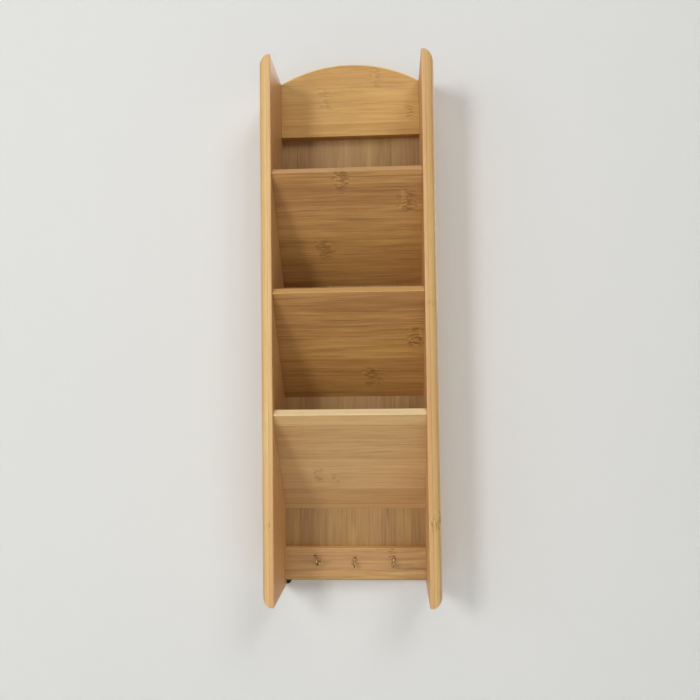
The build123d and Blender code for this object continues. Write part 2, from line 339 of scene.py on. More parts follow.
def header_shell():
    """The header as (X, Z) outlines carried from its front face to the wall side.

    The outline is a straight foot and an arch.  The front ones are drawn in by the arris's sag, and
    behind the back panel the foot is raised by the rebate.  The screw heads' rooms are pockets.
    """
    half = INNER_X - GLUE_LINE
    shoulder = header_high.z - ARCH_RISE
    x = np.linspace(-half, half, ARCH_POINTS)
    outline_x = np.concatenate([x, x[::-1]])
    arris = edge_stations(BOARD_ARRIS, 5)
    step = panel_low.y - header_low.y
    depths = np.concatenate([arris, [step, step + STEP_GAP, header_high.y - header_low.y]])
    lifts = np.array([0.0] * (len(arris) + 1) + [panel_high.z + PANEL_CLEARANCE - header_low.z] * 2)
    rings = np.empty((len(depths), len(outline_x), 3))
    for ring, depth, lift in zip(rings, depths, lifts):
        sag = quarter_sag(depth, BOARD_ARRIS)
        ring[:, 0] = outline_x
        ring[:, 1] = header_low.y + depth
        foot = np.full(ARCH_POINTS, header_low.z + sag + lift)
        ring[:, 2] = np.concatenate([foot, shoulder + arch_lift(x[::-1]) - sag])
    rooms = [stadium(hand * HANGER_X, 0.0, SLOT_RISE, HEAD_ROOM_RADIUS) for hand in (-1, 1)]
    return pocketed(loft(rings), rooms, header_high.y, header_high.y - HEAD_ROOM_DEPTH)


def plain_board_shell(low, high, half_width, front_radius, back_radius):
    """A board with a rectangle section carried across."""
    corners = [(low.y, low.z), (high.y, low.z), (high.y, high.z), (low.y, high.z)]
    outline = eased_outline(corners, (front_radius, back_radius, back_radius, front_radius))
    return carried_across(outline, [-half_width, half_width])


def pocket_front_shell(lip_z):
    """A leaning board: its section is square at the lip and cut upright at the foot."""
    outer_top = (LIP_Y, lip_z)
    inner_top = (LIP_Y + INWARD[0] * FRONT_THICKNESS, lip_z + INWARD[1] * FRONT_THICKNESS)
    outer_foot = (PANEL_FACE_Y, lip_z - FRONT_DROP)
    inner_foot = (PANEL_FACE_Y, lip_z - FRONT_DROP + FRONT_THICKNESS / INWARD[0])
    outline = eased_outline(
        [outer_top, outer_foot, inner_foot, inner_top], (BOARD_ARRIS, CUT_EDGE, CUT_EDGE, BOARD_ARRIS)
    )
    half = INNER_X - GLUE_LINE
    return carried_across(outline, [-half, half])


# ---------------------------------------------------------------- fittings

def hook_line():
    """The wire's middle line and its running length: distance out from the rail, height above the shank."""
    bend_angle = np.linspace(0, np.pi / 2, 9)
    bowl_angle = np.linspace(np.pi, 2 * np.pi, 33)
    bend = np.stack([HOOK_NECK + HOOK_BEND * np.sin(bend_angle), HOOK_BEND * (np.cos(bend_angle) - 1)], 1)
    bowl_centre = np.array([HOOK_NECK + HOOK_BEND + HOOK_BOWL, -HOOK_BEND - HOOK_BACK_DROP])
    bowl = bowl_centre + HOOK_BOWL * np.stack([np.cos(bowl_angle), np.sin(bowl_angle)], 1)
    round_angle = np.linspace(0, np.pi / 2, 7)
    tip_heights = np.concatenate([[HOOK_TIP_RISE / 2], HOOK_TIP_RISE + WIRE_RADIUS * np.sin(round_angle)])
    tip = bowl[-1] + np.stack([np.zeros(len(tip_heights)), tip_heights], 1)
    line = np.concatenate([[[-2 * WIRE_RADIUS, 0.0]], [[0.0, 0.0]], bend, bowl, tip])
    radii = np.full(len(line), WIRE_RADIUS)
    radii[-len(round_angle):] = np.maximum(WIRE_RADIUS * np.cos(round_angle), 0.02 * WIRE_RADIUS)
    return line, radii


def hook_shell(root, lean):
    """A wire of round section carried along the hook's line, with a threaded, pointed shank behind it.

    Each ring stands square to the line: its points are the middle point plus radius times the cosine of
    the angle along the line's normal and the sine of the angle sideways.
    """
    line, radii = hook_line()
    step = np.gradient(line, axis=0)
    step /= np.linalg.norm(step, axis=1)[:, None]
    angle = np.linspace(0, 2 * np.pi, 20, endpoint=False)
    out = line[:, None, 0] - radii[:, None] * step[:, None, 1] * np.cos(angle)
    up = line[:, None, 1] + radii[:, None] * step[:, None, 0] * np.cos(angle)
    aside = radii[:, None] * np.sin(angle)[None, :]
    c, s = math.cos(math.radians(lean)), math.sin(math.radians(lean))
    rings = np.stack([root[0] + out * s + aside * c, root[1] - out * c + aside * s, root[2] + up], axis=2)
    wire = loft(rings)
    along = np.linspace(0, SHANK_LENGTH, 60)
    turn = along[:, None] / THREAD_PITCH - angle[None, :] / (2 * np.pi)
    ridge = np.clip(1 - 3.2 * np.abs(turn - np.round(turn)), 0, 1)
    taper = np.clip((SHANK_LENGTH - along) / SHANK_POINT, 0.03, 1)[:, None]
    fade = np.clip(along / THREAD_RUN_IN, 0, 1)[:, None]
    radius = (SHANK_RADIUS - THREAD_DEPTH * (1 - ridge) * fade) * taper
    shank_x = root[0] + radius * np.cos(angle)
    shank_y = root[1] + along[:, None] + 0 * radius
    shank_z = root[2] + radius * np.sin(angle)
    shank = np.stack([shank_x, shank_y, shank_z], axis=2)
    return joined([wire, loft(shank)])


def screw_shell(x, z):
    """A countersunk screw: turned head, neck and point, with a cross sunk into the head.

    The head's face is a disc of rings; a point is sunk by the recess depth times a smooth step in its
    distance from the nearer arm of the cross, and by less towards the arms' ends.
    """
    angle = np.linspace(0, 2 * np.pi, 48, endpoint=False)
    radius = np.concatenate([[0.02 * MM], np.linspace(0.12, 1.0, 16) * SCREW_HEAD_RADIUS * 0.96])
    grid_x = radius[:, None] * np.cos(angle)
    grid_z = radius[:, None] * np.sin(angle)
    across = np.minimum(np.abs(grid_x), np.abs(grid_z))
    along = np.maximum(np.abs(grid_x), np.abs(grid_z))
    arm = np.clip((RECESS_WIDTH - across) / RECESS_WALL + 0.5, 0, 1)
    reach = np.clip((RECESS_REACH - along) / RECESS_RUN_OUT, 0, 1)
    sunk = RECESS_DEPTH * arm * np.sqrt(reach)
    face = np.stack([x + grid_x, -SCREW_SUNK - sunk, z + grid_z], axis=2)
    body_profile = [
        (SCREW_HEAD_RADIUS, -0.1 * MM), (SCREW_HEAD_RADIUS, -0.2 * MM), (SCREW_RADIUS, -SCREW_HEAD_HEIGHT),
        (SCREW_RADIUS, -SCREW_LENGTH + SCREW_POINT), (0.1 * SCREW_RADIUS, -SCREW_LENGTH),
    ]
    body_radius, body_depth = np.array(body_profile).T
    body_x = x + body_radius[:, None] * np.cos(angle)
    body_y = body_depth[:, None] + 0 * angle
    body_z = z + body_radius[:, None] * np.sin(angle)
    body = np.stack([body_x, body_y, body_z], axis=2)
    return loft(np.concatenate([face, body]))


def brad_shell(x, z):
    """A brad: a low domed head and a pointed shank, turned in a few dozen faces."""
    dome = ((0.1, 1.0), (0.6, 0.75), (0.9, 0.3), (1.0, -0.3))
    profile = [(across * BRAD_HEAD_RADIUS, proud * BRAD_PROUD) for across, proud in dome]
    profile += [(BRAD_HEAD_RADIUS, -BRAD_HEAD_HEIGHT), (BRAD_RADIUS, -BRAD_HEAD_HEIGHT)]
    profile += [(BRAD_RADIUS, -BRAD_LENGTH + BRAD_POINT), (0.05 * BRAD_RADIUS, -BRAD_LENGTH)]
    return turned(profile, (x, WOOD_BACK_Y, z), sides=14)


def brad_places():
    """(X, Z) of the brads: down both sides, and across the rail and the header."""
    low = rail_high.z + SIDE_BRAD_ABOVE_RAIL
    high = panel_high.z - SIDE_BRAD_BELOW_HEAD
    side_x = INNER_X + REBATE_WIDTH / 2
    places = [(hand * side_x, z) for hand in (-1, 1) for z in np.linspace(low, high, SIDE_BRAD_COUNT)]
    for z in ((rail_low.z + rail_high.z) / 2, (header_low.z + panel_high.z) / 2):
        places += [(index * CROSS_BRAD_PITCH, z) for index in (-1, 0, 1)]
    return places


def bumper_shell(node):
    """A rubber bumper: a turned disc with a soft shoulder and a slightly hollow face towards the wall."""
    low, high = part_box(node)
    radius = (high.x - low.x) / 2
    depth = high.y - low.y
    shoulder = np.linspace(0, np.pi / 2, 9)
    soft = 0.55 * depth
    profile = [(0.03 * radius, 0.0), (radius * 0.98, 0.0), (radius, 0.08 * depth)]
    profile += [(radius - soft * (1 - math.cos(a)), depth - soft * (1 - math.sin(a))) for a in shoulder]
    profile += [(radius * 0.55, depth * 0.985), (radius * 0.3, depth * 0.96), (0.03 * radius, depth * 0.95)]
    return turned(profile, ((low.x + high.x) / 2, low.y, (low.z + high.z) / 2), sides=48)


# ---------------------------------------------------------------- node helpers

def link(tree, source, target):
    """Joins a socket, or sets a plain value, on another socket."""
    if isinstance(source, bpy.types.NodeSocket):
        tree.links.new(source, target)
    else:
        target.default_value = source


def calc(tree, operation, first, second=0.0, clamp=False):
    """A Math node's result."""
    node = tree.nodes.new("ShaderNodeMath")
    node.operation = operation
    node.use_clamp = clamp
    for value, socket in zip((first, second), node.inputs):
        link(tree, value, socket)
    return node.outputs[0]


def swing(tree, value, amount):
    """A value from 0 to 1 as a swing to both sides of zero, times an amount."""
    return calc(tree, "MULTIPLY", calc(tree, "SUBTRACT", value, 0.5), amount)


def vector_calc(tree, operation, first, second):
    """A Vector Math node's result."""
    node = tree.nodes.new("ShaderNodeVectorMath")
    node.operation = operation
    link(tree, first, node.inputs[0])
    link(tree, second, node.inputs[1])
    return node.outputs[0]


def blend_colour(tree, factor, first, second):
    """A colour Mix node's result."""
    node = tree.nodes.new("ShaderNodeMix")
    node.data_type = "RGBA"
    link(tree, factor, node.inputs[0])
    link(tree, first, node.inputs[6])
    link(tree, second, node.inputs[7])
    return node.outputs[2]


def span(tree, value, low, high, to_low=0.0, to_high=1.0):
    """A value moved from one span to another, smoothly and clamped."""
    node = tree.nodes.new("ShaderNodeMapRange")
    node.interpolation_type = "SMOOTHSTEP"
    for given, index in zip((value, low, high, to_low, to_high), range(5)):
        link(tree, given, node.inputs[index])
    return node.outputs[0]


def noise(tree, vector, scale, detail=2.0, roughness=0.5):
    """Noise from 0 to 1."""
    node = tree.nodes.new("ShaderNodeTexNoise")
    node.inputs["Scale"].default_value = scale
    node.inputs["Detail"].default_value = detail
    node.inputs["Roughness"].default_value = roughness
    link(tree, vector, node.inputs["Vector"])
    return node.outputs["Fac"]


def stretched(tree, vector, scales, offset=None):
    """A vector scaled along each axis, and moved by an offset vector."""
    moved = vector_calc(tree, "MULTIPLY", vector, scales)
    return vector_calc(tree, "ADD", moved, offset) if offset is not None else moved


def new_group(name, inputs, outputs):
    """A shader node group with named sockets; returns the tree, its input node and its output node."""
    group = bpy.data.node_groups.new(name, "ShaderNodeTree")
    for socket_name, kind, default in inputs:
        socket = group.interface.new_socket(name=socket_name, in_out="INPUT", socket_type=kind)
        if default is not None:
            socket.default_value = default
    for socket_name, kind in outputs:
        group.interface.new_socket(name=socket_name, in_out="OUTPUT", socket_type=kind)
    return group, group.nodes.new("NodeGroupInput"), group.nodes.new("NodeGroupOutput")


def place_group(tree, group, **values):
    """The group as a node in a material, with its values or links set."""
    node = tree.nodes.new("ShaderNodeGroup")
    node.node_tree = group
    for name, value in values.items():
        link(tree, value, node.inputs[name.replace("_", " ")])
    return node


FLOAT, VECTOR, COLOUR = "NodeSocketFloat", "NodeSocketVector", "NodeSocketColor"


# ---------------------------------------------------------------- bamboo

def bamboo_group():
    """Strip bamboo.  The board vector runs along the grain, across it and through the board, in metres."""
    group, given, result = new_group(
        "Strip bamboo",
        [
            ("Board", VECTOR, None), ("Seed", FLOAT, 0.0), ("Strip Width", FLOAT, 0.018),
            ("Fibre Scale", FLOAT, 1.0), ("Pale", COLOUR, (0.6, 0.4, 0.2, 1)),
            ("Deep", COLOUR, (0.4, 0.2, 0.1, 1)), ("Blush", COLOUR, (0.6, 0.3, 0.2, 1)),
            ("Tone", FLOAT, 0.3), ("Streak", FLOAT, 0.4), ("Lines", FLOAT, 0.4),
            ("Blush Amount", FLOAT, 0.3), ("Seam", FLOAT, 0.5), ("Knuckle", FLOAT, 0.0),
        ],
        [("Color", COLOUR), ("Roughness", FLOAT), ("Height", FLOAT)],
    )
    tree, socket = group, given.outputs
    # Each board is cut from other canes.
    cane = tree.nodes.new("ShaderNodeCombineXYZ")
    for index, share in enumerate((3.17, 1.31, 2.23)):
        link(tree, calc(tree, "MULTIPLY", socket["Seed"], share), cane.inputs[index])
    cane = cane.outputs[0]
    parts = tree.nodes.new("ShaderNodeSeparateXYZ")
    link(tree, socket["Board"], parts.inputs[0])
    along, across, through = parts.outputs
    # Strips are glued edge to edge, and each has its own tone and starts elsewhere along its cane.
    place = calc(tree, "DIVIDE", across, socket["Strip Width"])
    within = calc(tree, "FRACT", place)
    to_edge = calc(tree, "MINIMUM", within, calc(tree, "SUBTRACT", 1.0, within))
    seam = span(tree, calc(tree, "MULTIPLY", to_edge, socket["Strip Width"]), 0.0001, 0.0007, 1.0, 0.0)
    seam = calc(tree, "MULTIPLY", seam, socket["Seam"])
    key = tree.nodes.new("ShaderNodeCombineXYZ")
    link(tree, calc(tree, "FLOOR", place), key.inputs[0])
    link(tree, socket["Seed"], key.inputs[1])
    strip = tree.nodes.new("ShaderNodeTexWhiteNoise")
    strip.noise_dimensions = "2D"
    link(tree, key.outputs[0], strip.inputs["Vector"])
    strip = strip.outputs["Value"]
    # The grain wanders a little sideways, and the knuckle mask pushes it apart; on the header that mask also
    # holds one patch of painted shadow.
    wander = noise(tree, stretched(tree, socket["Board"], (11.0, 30.0, 30.0), cane), 1.0, 2.0)
    aside = calc(tree, "ADD", swing(tree, wander, 0.0045), calc(tree, "MULTIPLY", socket["Knuckle"], 0.0012))
    grain = tree.nodes.new("ShaderNodeCombineXYZ")
    link(tree, calc(tree, "ADD", along, calc(tree, "MULTIPLY", strip, 7.0)), grain.inputs[0])
    link(tree, calc(tree, "ADD", across, aside), grain.inputs[1])
    link(tree, through, grain.inputs[2])
    scale = tree.nodes.new("ShaderNodeVectorMath")
    scale.operation = "SCALE"
    link(tree, grain.outputs[0], scale.inputs[0])
    link(tree, socket["Fibre Scale"], scale.inputs["Scale"])
    grain = scale.outputs[0]
    broad = noise(tree, stretched(tree, grain, (7.0, 110.0, 110.0), cane), 1.0, 2.0, 0.55)
    fine = noise(tree, stretched(tree, grain, (19.0, 460.0, 460.0), cane), 1.0, 3.0, 0.62)
    fibre = noise(tree, stretched(tree, grain, (30.0, 1700.0, 1700.0), cane), 1.0, 2.0, 0.6)
    cloud = noise(tree, stretched(tree, socket["Board"], (10.0, 22.0, 22.0), cane), 1.0, 2.0)
    depth = 0.5
    for layer, weight in ((broad, 1.0), (fine, 1.7), (fibre, 0.8)):
        layer = calc(tree, "MULTIPLY", swing(tree, layer, weight), socket["Streak"])
        depth = calc(tree, "ADD", depth, layer)
    depth = calc(tree, "ADD", depth, swing(tree, strip, socket["Tone"]))
    depth = calc(tree, "ADD", depth, swing(tree, cloud, 0.5), clamp=True)
    colour = blend_colour(tree, depth, socket["Pale"], socket["Deep"])
    blush = noise(tree, stretched(tree, socket["Board"], (5.0, 40.0, 40.0), cane), 1.0, 2.0)
    blush = calc(tree, "MULTIPLY", span(tree, blush, 0.38, 0.68), socket["Blush Amount"])
    colour = blend_colour(tree, blush, colour, socket["Blush"])
    # Darker growth lines run long distances, and vessels show as short dark dashes.
    line = noise(tree, stretched(tree, grain, (9.0, 380.0, 380.0), cane), 1.0, 3.0, 0.7)
    line = calc(tree, "MULTIPLY", span(tree, line, 0.53, 0.72), socket["Lines"])
    dash = span(tree, noise(tree, stretched(tree, grain, (60.0, 1300.0, 1300.0)), 1.0, 1.0), 0.62, 0.76)
    dark = calc(tree, "MAXIMUM", line, calc(tree, "MULTIPLY", dash, 0.22))
    dark = calc(tree, "MAXIMUM", dark, calc(tree, "MULTIPLY", seam, 0.45))
    colour = blend_colour(tree, dark, colour, (0.15, 0.066, 0.016, 1))
    # Knuckles are darker, with pale flecks; on the header the same mask also holds one patch of painted
    # shadow, darkened and flecked the same way.
    fleck = noise(tree, stretched(tree, grain, (170.0, 620.0, 620.0), cane), 1.0, 2.0, 0.6)
    stain = calc(tree, "MULTIPLY", socket["Knuckle"], span(tree, fleck, 0.4, 0.52, 0.72, 0.2))
    colour = blend_colour(tree, stain, colour, (0.2, 0.086, 0.018, 1))
    gleam = calc(tree, "MULTIPLY", socket["Knuckle"], span(tree, fleck, 0.52, 0.6, 0.0, 0.75))
    colour = blend_colour(tree, gleam, colour, socket["Pale"])
    link(tree, colour, result.inputs["Color"])
    link(tree, calc(tree, "ADD", 0.42, calc(tree, "MULTIPLY", fine, 0.16)), result.inputs["Roughness"])
    height = calc(tree, "MULTIPLY", calc(tree, "ADD", fine, fibre), 0.5)
    height = calc(tree, "SUBTRACT", height, calc(tree, "MULTIPLY", seam, 0.8))
    link(tree, calc(tree, "SUBTRACT", height, calc(tree, "MULTIPLY", dash, 0.4)), result.inputs["Height"])
    return group


def knuckle_and_shade_group():
    """One bamboo knuckle, also used for one patch of painted shadow on the header: a mask that is 1 on a
    short band across one strip, with a ragged edge.
    """
    group, given, result = new_group(
        "Bamboo knuckle and shade mark",
        [
            ("Board", VECTOR, None), ("Along", FLOAT, 0.0), ("Across", FLOAT, 0.0),
            ("Half Length", FLOAT, 0.004), ("Half Width", FLOAT, 0.008), ("Strength", FLOAT, 1.0),
            ("Before", FLOAT, 0.0),
        ],
        [("Mask", FLOAT)],
    )
    socket = given.outputs
    parts = group.nodes.new("ShaderNodeSeparateXYZ")
    link(group, socket["Board"], parts.inputs[0])
    ragged = noise(group, stretched(group, socket["Board"], (150.0, 300.0, 300.0)), 1.0, 3.0, 0.65)
    distances = []
    for part, middle, half, stray in ((0, "Along", "Half Length", 0.02), (1, "Across", "Half Width", 0.008)):
        distance = calc(group, "SUBTRACT", parts.outputs[part], socket[middle])
        distance = calc(group, "ADD", distance, swing(group, ragged, stray))
        distances.append(calc(group, "DIVIDE", distance, socket[half]))
    squared = [calc(group, "POWER", calc(group, "ABSOLUTE", distance), 2.4) for distance in distances]
    reach = calc(group, "ADD", *squared)
    mask = calc(group, "MULTIPLY", span(group, reach, 0.25, 1.6, 1.0, 0.0), socket["Strength"])
    link(group, calc(group, "MAXIMUM", mask, socket["Before"]), result.inputs["Mask"])
    return group


BAMBOO = bamboo_group()
KNUCKLE_AND_SHADE_MARK = knuckle_and_shade_group()


def new_material(name):
    """A material with an emptied node tree, and its Principled shader."""
    material = bpy.data.materials.new(name)
    material.use_nodes = True
    tree = material.node_tree
    tree.nodes.clear()
    output = tree.nodes.new("ShaderNodeOutputMaterial")
    shader = tree.nodes.new("ShaderNodeBsdfPrincipled")
    tree.links.new(shader.outputs[0], output.inputs[0])
    return material, tree, shader


NO_TURN = (0.0, 0.0, 0.0)
ACROSS_TURN = (math.pi / 2, 0.0, 0.0)  # grain along X, across it down Z
UPRIGHT_TURN = (0.0, math.pi / 2, 0.0)  # grain along Z, across it along Y
SHEET_TURN = (math.pi / 2, 0.0, math.pi / 2)  # grain along Z, across it along X
LEAN_TURN = (math.atan2(FRONT_DROP, FRONT_RUN), 0.0, 0.0)  # grain along X, across it down the slope


def board_vector(tree, turn=NO_TURN, origin=(0.0, 0.0, 0.0)):
    """Object coordinates turned to run along, across and through a board, from the board's own corner."""
    coordinates = tree.nodes.new("ShaderNodeTexCoord")
    mapping = tree.nodes.new("ShaderNodeMapping")
    turn_x, turn_y, turn_z = (Matrix.Rotation(angle, 3, axis) for angle, axis in zip(turn, "XYZ"))
    rotation = turn_z @ turn_y @ turn_x
    mapping.inputs["Rotation"].default_value = turn
    mapping.inputs["Location"].default_value = -(rotation @ Vector(origin))
    tree.links.new(coordinates.outputs["Object"], mapping.inputs["Vector"])
    return mapping.outputs[0]


def add_bump(tree, shader, height, distance, strength=1.0):
    """A Bump node between a height and the shader's normal."""
    bump = tree.nodes.new("ShaderNodeBump")
    bump.inputs["Strength"].default_value = strength
    bump.inputs["Distance"].default_value = distance
    link(tree, height, bump.inputs["Height"])
    tree.links.new(bump.outputs[0], shader.inputs["Normal"])


def lacquer(shader):
    """A thin clear satin lacquer over wood."""
    shader.inputs["Coat Weight"].default_value = 0.10
    shader.inputs["Coat Roughness"].default_value = 0.22
    shader.inputs["IOR"].default_value = 1.45


def bamboo_material(name, turn, origin, seed, knuckle_and_shade_marks=(), **looks):
    """Lacquered strip bamboo for one board."""
    material, tree, shader = new_material(name)
    board = board_vector(tree, turn, origin)
    mask = 0.0
    for along, across, half_length, half_width, strength in knuckle_and_shade_marks:
        mark = place_group(
            tree, KNUCKLE_AND_SHADE_MARK, Board=board, Along=along, Across=across, Half_Length=half_length,
            Half_Width=half_width, Strength=strength, Before=mask,
        )
        mask = mark.outputs["Mask"]
    bamboo = place_group(tree, BAMBOO, Board=board, Seed=seed, Knuckle=mask, **looks)
    tree.links.new(bamboo.outputs["Color"], shader.inputs["Base Color"])
    tree.links.new(bamboo.outputs["Roughness"], shader.inputs["Roughness"])
    add_bump(tree, shader, bamboo.outputs["Height"], 0.00006)
    lacquer(shader)
    return material, tree, shader, bamboo, board


def linear(red, green, blue):
    """A colour given on the usual 0 to 255 display scale, as linear light with full cover."""
    channels = []
    for value in (red, green, blue):
        share = value / 255
        channels.append(share / 12.92 if share <= 0.04045 else ((share + 0.055) / 1.055) ** 2.4)
    return (*channels, 1.0)


PLY_WAVE = 0.0014
PLY_FADE = 0.0004
SIDE_GRAIN_MARGIN = 0.006
PLIES = (  # from, to, strength and tint, through the panel from its inner face
    (-0.001, 0.0031, 0.4, (214, 158, 104)), (0.0031, 0.0041, 0.5, (184, 130, 72)),
    (0.0041, 0.0083, 0.3, (234, 196, 124)), (0.0086, 0.0098, 0.35, (182, 128, 70)),
)


def side_panel_material(name, hand, seed, knuckle_and_shade_marks):
    """Side panels: upright grain, and plies that show as bands along the front edge."""
    origin = (hand * INNER_X, FRONT_EDGE_Y - SIDE_GRAIN_MARGIN, FOOT_Z)
    material, tree, shader, bamboo, board = bamboo_material(
        name, UPRIGHT_TURN, origin, seed, knuckle_and_shade_marks,
        Strip_Width=0.0215, Pale=linear(231, 197, 135), Deep=linear(203, 156, 95),
        Blush=linear(216, 158, 110), Tone=0.25, Streak=0.7, Lines=0.16, Blush_Amount=0.4, Seam=0.3,
    )
    parts = tree.nodes.new("ShaderNodeSeparateXYZ")
    link(tree, board, parts.inputs[0])
    wave = noise(tree, stretched(tree, board, (5.0, 30.0, 30.0)), 1.0, 2.0)
    through = calc(tree, "ADD", calc(tree, "ABSOLUTE", parts.outputs[2]), swing(tree, wave, PLY_WAVE))
    colour = bamboo.outputs["Color"]
    for inner, outer, strength, tint in PLIES:
        enter = span(tree, through, inner, inner + PLY_FADE)
        leave = span(tree, through, outer - PLY_FADE, outer, 1.0, 0.0)
        ply = calc(tree, "MULTIPLY", calc(tree, "MULTIPLY", enter, leave), strength)
        colour = blend_colour(tree, ply, colour, linear(*tint))
    tree.links.new(colour, shader.inputs["Base Color"])
    return material


def painted_highlight_edge_material(name, turn, origin, seed, knuckle_and_shade_marks, margin, highlight_colour, **looks):
    """A board's bamboo with a paler upper edge, a painted highlight for the light that falls on it from
    above, which starts at the margin in the board vector.
    """
    material, tree, shader, bamboo, board = bamboo_material(name, turn, origin, seed, knuckle_and_shade_marks, **looks)
    parts = tree.nodes.new("ShaderNodeSeparateXYZ")
    link(tree, board, parts.inputs[0])
    # Painted highlight: the upper edge is blended towards a paler colour, standing for light from above.
    painted_highlight = span(tree, parts.outputs[1], margin + 0.0001, margin + 0.0006, 0.72, 0.0)
    colour = blend_colour(tree, painted_highlight, bamboo.outputs["Color"], highlight_colour)
    tree.links.new(colour, shader.inputs["Base Color"])
    return material


def header_material():
    """The header's bamboo, with a paler rim along the arch: a painted highlight on the arch's top edge, which
    faces the light from above.

    The rim is where the distance from the arch circle's centre comes within about a millimetre of its radius.
    """
    material, tree, shader, bamboo, _ = bamboo_material(
        "Bamboo header", ACROSS_TURN, (0.0, header_low.y, header_high.z), 4.0,
        [
            (-0.023, 0.033, 0.006, 0.010, 0.5), (0.024, 0.012, 0.005, 0.010, 0.45),
            # The third mark is painted shadow: the right side panel's shade on the header's right end, drawn
            # with the knuckle mask.
            (0.058, 0.048, 0.004, 0.009, 0.6),
        ],
        Strip_Width=0.0193, Pale=linear(220, 178, 104), Deep=linear(184, 134, 66),
        Blush=linear(202, 146, 86), Tone=0.35, Streak=0.75, Lines=0.25, Blush_Amount=0.2, Seam=0.4,
    )
    coordinates = tree.nodes.new("ShaderNodeTexCoord")
    level = vector_calc(tree, "MULTIPLY", coordinates.outputs["Object"], (1.0, 0.0, 1.0))
    reach = tree.nodes.new("ShaderNodeVectorMath")
    reach.operation = "DISTANCE"
    link(tree, level, reach.inputs[0])
    reach.inputs[1].default_value = (0.0, 0.0, header_high.z - ARCH_RADIUS)
    # Painted highlight: the arch's top edge and a band just inside it are blended towards pale, standing for
    # the light that falls there from above.
    rim = span(tree, reach.outputs["Value"], ARCH_RADIUS - 0.0014, ARCH_RADIUS - 0.0006, 0.0, 0.6)
    colour = blend_colour(tree, rim, bamboo.outputs["Color"], linear(250, 220, 150))
    tree.links.new(colour, shader.inputs["Base Color"])
    return material


def metal_material(name, colour, dull_colour, roughness, scratch_scales):
    """Plated metal with fine drawing marks and dull patches."""
    material, tree, shader = new_material(name)
    board = board_vector(tree)
    marks = noise(tree, stretched(tree, board, scratch_scales), 1.0, 3.0, 0.6)
    patches = noise(tree, board, 420.0, 3.0, 0.6)
    tint = blend_colour(tree, span(tree, patches, 0.35, 0.7), colour, dull_colour)
    tree.links.new(tint, shader.inputs["Base Color"])
    rough = calc(tree, "ADD", roughness, calc(tree, "MULTIPLY", calc(tree, "ADD", marks, patches), 0.14))
    tree.links.new(rough, shader.inputs["Roughness"])
    shader.inputs["Metallic"].default_value = 1.0
    add_bump(tree, shader, marks, 0.00002, 0.6)
    return material


def rubber_material():
    """Black moulded rubber, with a fine bloom and dust caught in its texture."""
    material, tree, shader = new_material("Black rubber")
    board = board_vector(tree)
    grit = noise(tree, board, 5200.0, 3.0, 0.6)
    bloom = noise(tree, board, 600.0, 2.0)
    clean, dusty = (0.012, 0.011, 0.010, 1), (0.035, 0.032, 0.030, 1)
    tint = blend_colour(tree, span(tree, bloom, 0.4, 0.75), clean, dusty)
    tree.links.new(tint, shader.inputs["Base Color"])
    tree.links.new(calc(tree, "ADD", 0.5, calc(tree, "MULTIPLY", bloom, 0.25)), shader.inputs["Roughness"])
    add_bump(tree, shader, grit, 0.00005, 0.7)
    return material


# ---------------------------------------------------------------- the rack

left_side_wood = side_panel_material("Bamboo left side", -1, 1.0, [(0.068, 0.008, 0.003, 0.004, 0.5)])
right_side_wood = side_panel_material(
    "Bamboo right side", 1, 2.0,
    [(0.072, 0.009, 0.006, 0.007, 1.0), (0.258, 0.009, 0.003, 0.004, 0.4)],
)
for hand, name, wood in ((-1, "left_side_panel", left_side_wood), (1, "right_side_panel", right_side_wood)):
    add_piece(f"{name}_shaped", side_panel_shell(hand), wood, [name])

add_piece("arched_header_shaped", header_shell(), header_material(), ["arched_header"])

RAIL_MARGIN = 0.006
LIP_MARGIN = 0.007
# The rail's paler top edge, linear(232, 190, 126), is a painted highlight for the light that falls on it from
# above.
rail_wood = painted_highlight_edge_material(
    "Bamboo rail", ACROSS_TURN, (0.0, rail_low.y, rail_high.z + RAIL_MARGIN), 7.0,
    [(0.0345, 0.010, 0.003, 0.009, 0.8)], RAIL_MARGIN, linear(232, 190, 126),
    Strip_Width=0.0205, Pale=linear(202, 162, 102), Deep=linear(160, 118, 64), Blush=linear(192, 142, 98),
    Tone=0.4, Streak=1.15, Lines=0.5, Blush_Amount=0.45, Seam=0.4,
)
add_piece(
    "hook_rail_shaped", plain_board_shell(rail_low, rail_high, INNER_X - GLUE_LINE, BOARD_ARRIS, CUT_EDGE),
    rail_wood, ["hook_rail"],
)

panel_wood = bamboo_material(
    "Bamboo back sheet", SHEET_TURN, (0.0, 0.0, FOOT_Z), 9.0, (),
    Strip_Width=0.0131, Fibre_Scale=1.5, Pale=linear(184, 148, 88), Deep=linear(140, 102, 54),
    Blush=linear(176, 130, 92), Tone=0.3, Streak=0.7, Lines=0.3, Blush_Amount=0.3, Seam=0.2,
)[0]
add_piece(
    "back_panel_shaped", plain_board_shell(panel_low, panel_high, panel_high.x, CUT_EDGE, CUT_EDGE),
    panel_wood, ["back_panel"],
)

